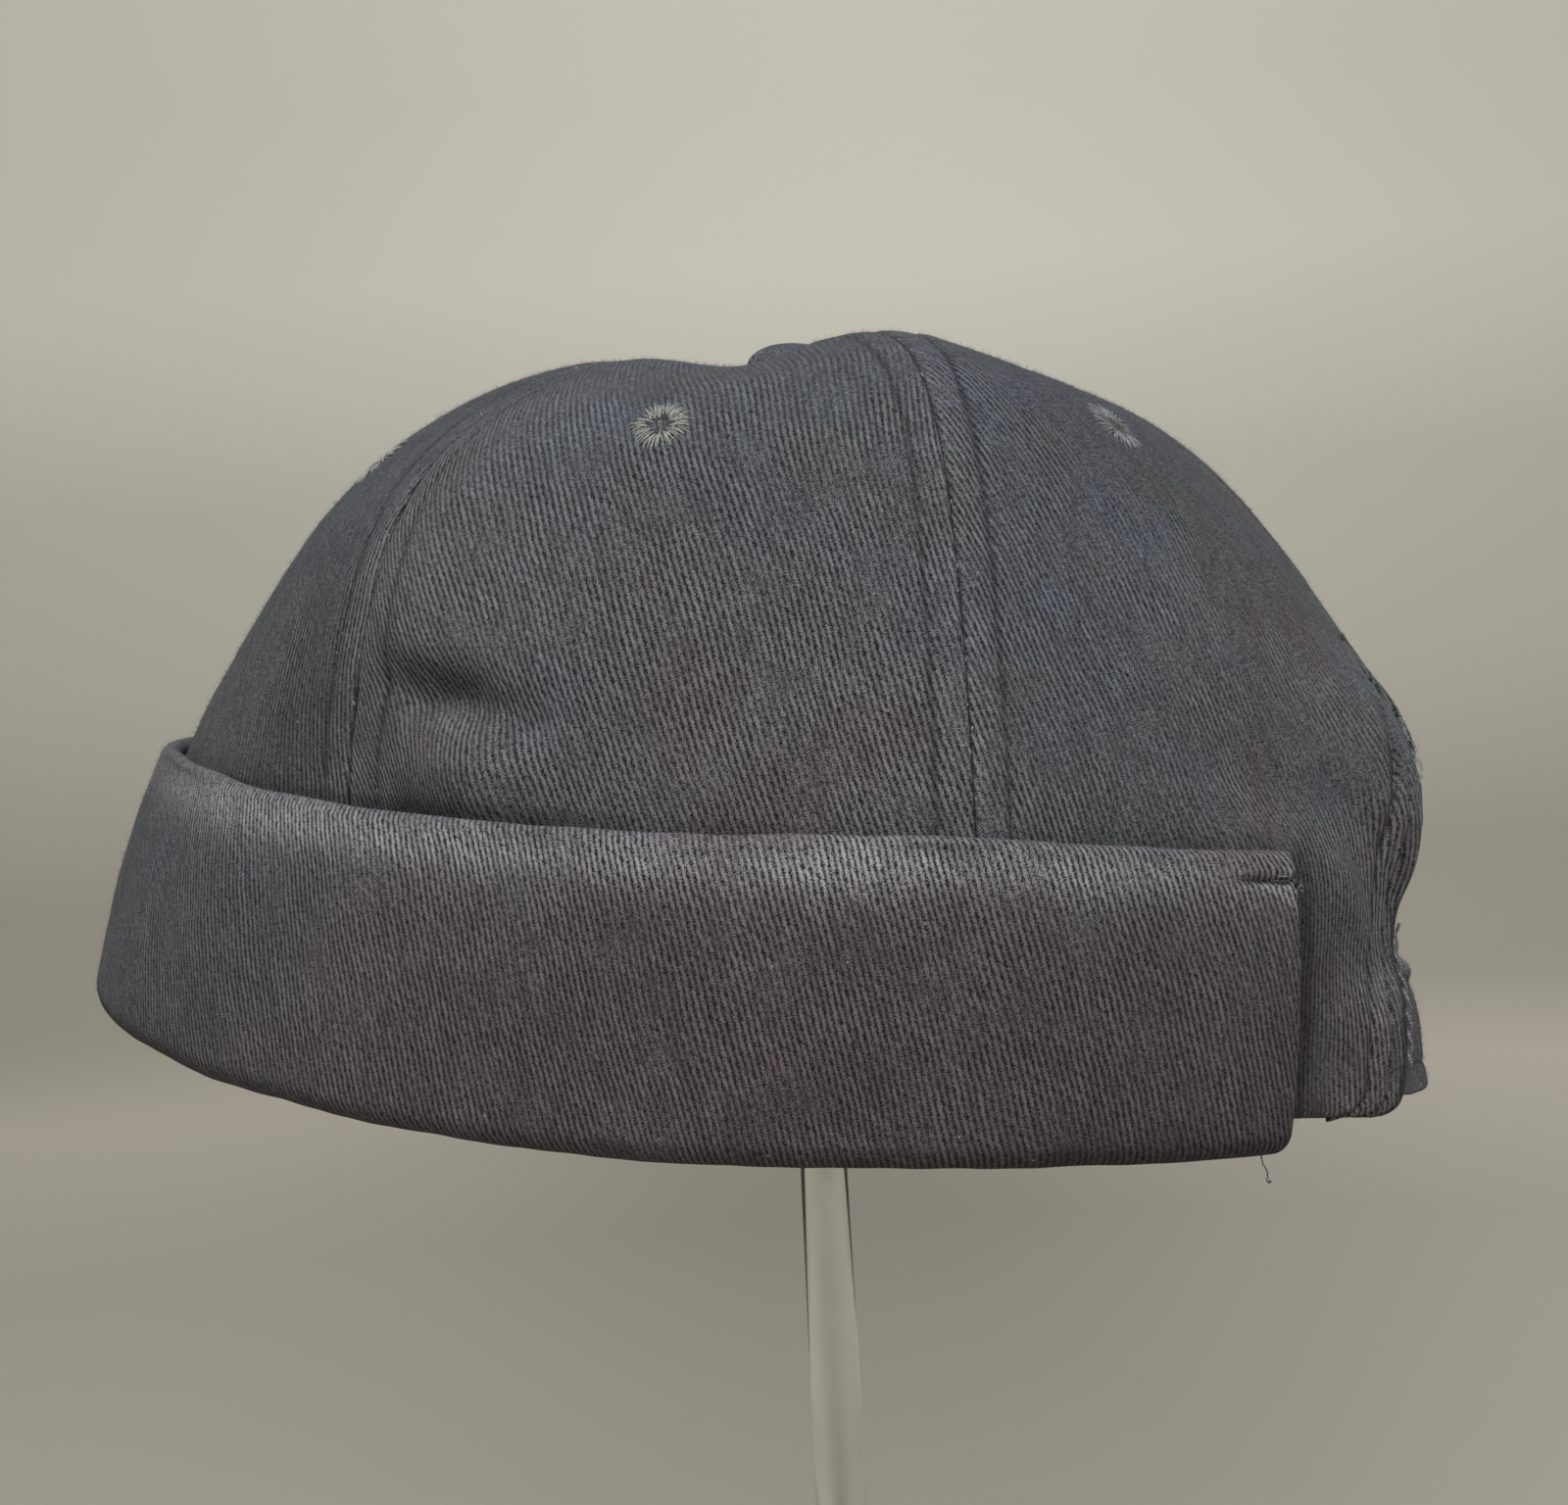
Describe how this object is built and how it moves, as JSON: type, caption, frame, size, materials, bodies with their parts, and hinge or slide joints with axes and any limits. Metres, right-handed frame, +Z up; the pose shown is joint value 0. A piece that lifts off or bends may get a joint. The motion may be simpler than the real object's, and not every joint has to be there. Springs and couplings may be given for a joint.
{
  "type": "sailor cap on a display stand",
  "caption": "Brimless panelled twill cap with a turned-up cuff, top button, eyelets and an arched back opening with a strap, carried on a plain clear stand.",
  "frame": {"origin": "on the table, under the middle of the bounding box", "axes": "+Z up out of the stand, the front of the cap faces -Y, the wearer's left is at +X"},
  "size_m": [0.174, 0.198, 0.3011],
  "materials": {
    "washed_twill": "washed cotton twill, matt",
    "washed_twill_worn": "washed cotton twill, rubbed paler on its fold",
    "eyelet_thread": "satin stitched cotton thread",
    "clear_acrylic": "clear, polished"
  },
  "bodies": {
    "root": {"panel_front_left": "washed_twill", "panel_front_right": "washed_twill", "panel_side_left": "washed_twill", "panel_side_right": "washed_twill", "panel_back_left": "washed_twill", "panel_back_right": "washed_twill", "top_button": "washed_twill", "arch_binding": "washed_twill", "back_strap": "washed_twill", "strap_tab": "washed_twill", "cuff": "washed_twill_worn", "eyelet_front_left": "eyelet_thread", "eyelet_front_right": "eyelet_thread", "eyelet_side_left": "eyelet_thread", "eyelet_side_right": "eyelet_thread", "eyelet_back_left": "eyelet_thread", "eyelet_back_right": "eyelet_thread", "stand_base": "clear_acrylic", "stand_stem": "clear_acrylic", "stand_pad": "clear_acrylic"}
  },
  "joints": []
}
